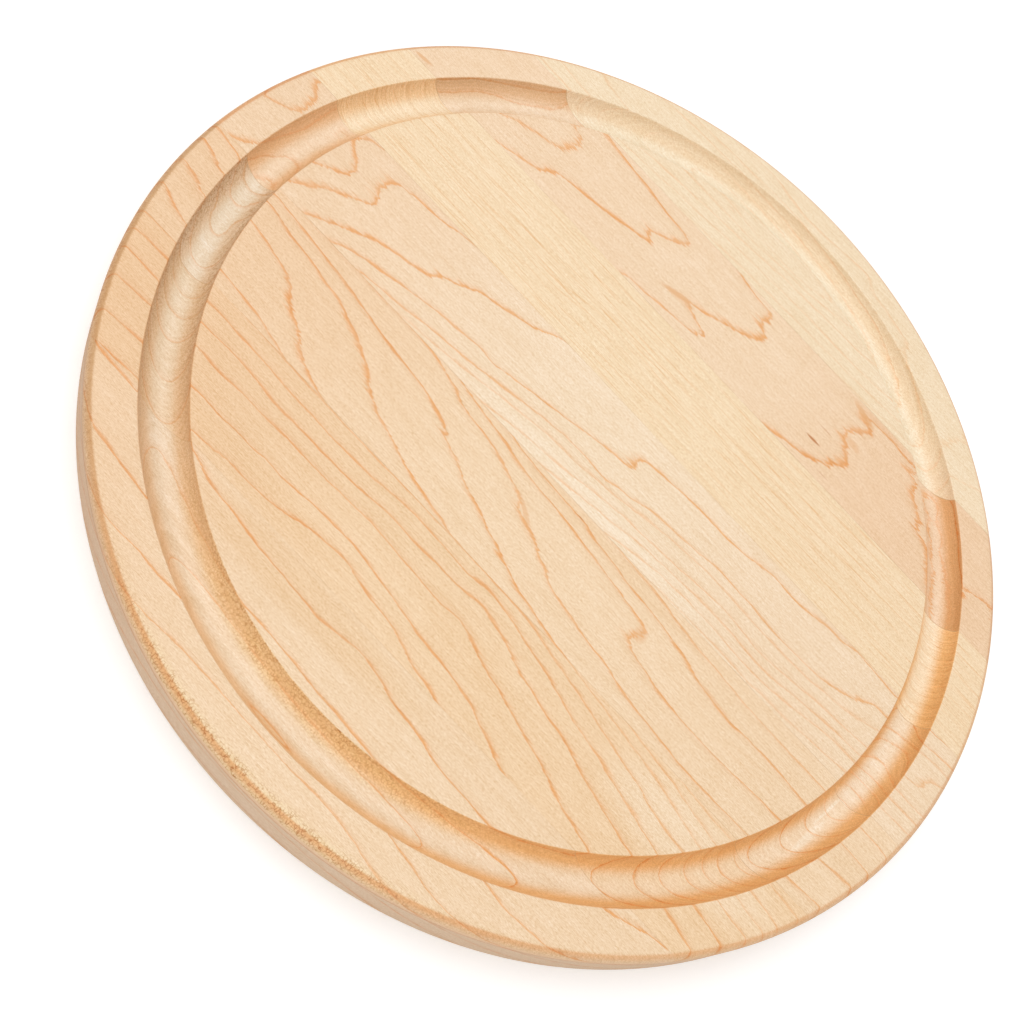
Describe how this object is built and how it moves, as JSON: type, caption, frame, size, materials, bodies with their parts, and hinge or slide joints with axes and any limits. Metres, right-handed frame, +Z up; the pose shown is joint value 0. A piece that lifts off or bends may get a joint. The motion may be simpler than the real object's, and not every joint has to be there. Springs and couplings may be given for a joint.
{
  "type": "round steak board",
  "caption": "Round wooden steak board of edge-glued staves, with a round-bottomed juice groove near the rim and a rounded top edge.",
  "frame": {"origin": "centre of the flat underside, where the board's axis meets the table", "axes": "+Z up through the board's thickness, +X along the grain, +Y across the staves towards the back edge"},
  "size_m": [0.343, 0.343, 0.0191],
  "materials": {
    "maple_pale_flat_sawn": "sanded and oiled, satin",
    "maple_flame_grain": "sanded and oiled, satin",
    "maple_quarter_sawn": "sanded and oiled, satin",
    "maple_fanning_grain": "sanded and oiled, satin",
    "maple_slanting_grain": "sanded and oiled, satin",
    "maple_wavy_grain": "sanded and oiled, satin",
    "maple_sparse_grain": "sanded and oiled, satin"
  },
  "bodies": {
    "root": {"stave_1_back_edge": "maple_pale_flat_sawn", "stave_2_flame_grain": "maple_flame_grain", "stave_3_quarter_sawn": "maple_quarter_sawn", "stave_4_centre": "maple_fanning_grain", "stave_5_slanting_grain": "maple_slanting_grain", "stave_6_wavy_grain": "maple_wavy_grain", "stave_7_front_edge": "maple_sparse_grain"}
  },
  "joints": []
}
